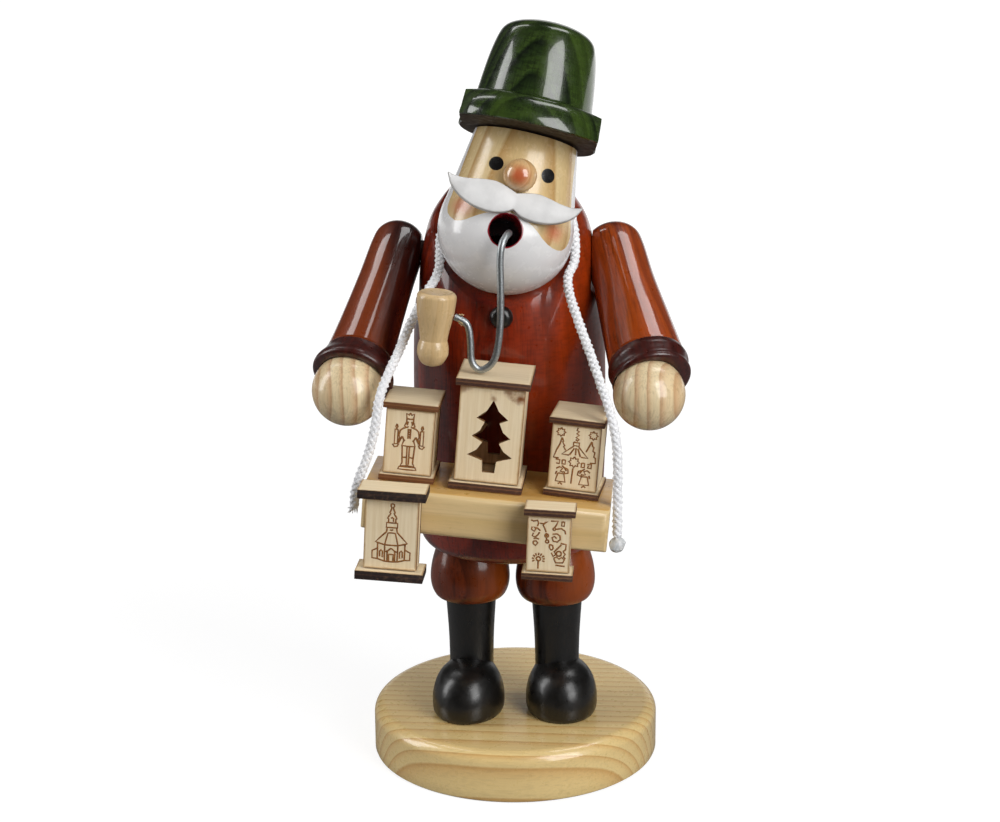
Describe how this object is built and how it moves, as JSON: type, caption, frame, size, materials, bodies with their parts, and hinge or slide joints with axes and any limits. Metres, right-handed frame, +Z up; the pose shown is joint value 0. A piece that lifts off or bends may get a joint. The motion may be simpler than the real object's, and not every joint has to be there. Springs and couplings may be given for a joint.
{
  "type": "wooden smoker figure",
  "caption": "Turned wooden incense smoker figure on a round base: bearded lantern seller with hat, pipe and a tray of plywood lanterns hung from a neck cord.",
  "frame": {"origin": "centre of the base disc's underside", "axes": "+Z up; the figure faces -Y; its right arm as seen from the front points to +X"},
  "size_m": [0.1066, 0.1212, 0.2317],
  "materials": {
    "pine": "clear gloss lacquer",
    "coat_stain": "red-brown stain under gloss lacquer",
    "black_lacquer": "black gloss lacquer",
    "green_stain": "green stain under gloss lacquer",
    "flesh_wood": "clear lacquer with painted beard and face",
    "white_paint": "white satin paint",
    "pale_wood": "natural turned wood",
    "plywood": "natural plywood with scorched edges",
    "steel_wire": "bright drawn wire",
    "tinned_dish": "pressed sheet",
    "cord_white": "braided synthetic cord"
  },
  "bodies": {
    "base": {"base_disc": "pine", "left_shoe": "black_lacquer", "right_shoe": "black_lacquer", "left_boot_shaft": "black_lacquer", "right_boot_shaft": "black_lacquer", "left_breeches": "coat_stain", "right_breeches": "coat_stain", "lower_body": "coat_stain", "incense_dish": "tinned_dish", "dish_tack": "steel_wire"},
    "coat": {"upper_body": "coat_stain", "head": "flesh_wood", "nose": "flesh_wood", "moustache": "white_paint", "hat": "green_stain", "coat_button": "black_lacquer", "tray": "pine", "tray_dowel": "pale_wood", "neck_cord": "cord_white", "cord_end_bead": "cord_white", "middle_lantern_floor": "plywood", "middle_lantern_roof": "plywood", "middle_lantern_front": "plywood", "middle_lantern_back": "plywood", "middle_lantern_left_side": "plywood", "middle_lantern_right_side": "plywood", "left_lantern_floor": "plywood", "left_lantern_roof": "plywood", "left_lantern_front": "plywood", "left_lantern_back": "plywood", "left_lantern_left_side": "plywood", "left_lantern_right_side": "plywood", "right_lantern_floor": "plywood", "right_lantern_roof": "plywood", "right_lantern_front": "plywood", "right_lantern_back": "plywood", "right_lantern_left_side": "plywood", "right_lantern_right_side": "plywood", "front_left_lantern_floor": "plywood", "front_left_lantern_roof": "plywood", "front_left_lantern_front": "plywood", "front_left_lantern_back": "plywood", "front_left_lantern_left_side": "plywood", "front_left_lantern_right_side": "plywood", "front_right_lantern_floor": "plywood", "front_right_lantern_roof": "plywood", "front_right_lantern_front": "plywood", "front_right_lantern_back": "plywood", "front_right_lantern_left_side": "plywood", "front_right_lantern_right_side": "plywood"},
    "left_arm": {"left_arm": "coat_stain", "left_hand": "pine", "left_shoulder_dowel": "pale_wood"},
    "right_arm": {"right_arm": "coat_stain", "right_hand": "pine", "right_shoulder_dowel": "pale_wood"},
    "pipe": {"pipe_wire": "steel_wire", "pipe_bowl": "pale_wood"}
  },
  "joints": [
    {"name": "coat_lift", "type": "slide", "parent": "base", "child": "coat", "axis": [0, 0, 1], "range_m": [0, 0.06]},
    {"name": "left_shoulder", "type": "hinge", "parent": "coat", "child": "left_arm", "pos_m": [-0.0345, -0.005, 0.162], "axis": [-1, 0, 0], "range_deg": [0, 30]},
    {"name": "right_shoulder", "type": "hinge", "parent": "coat", "child": "right_arm", "pos_m": [0.0311, -0.005, 0.162], "axis": [-1, 0, 0], "range_deg": [0, 30]},
    {"name": "pipe_turn", "type": "hinge", "parent": "coat", "child": "pipe", "pos_m": [0.00266, -0.04591, 0.17512], "axis": [-0.1621, 0.9451, -0.2837], "range_deg": [0, 12]}
  ]
}
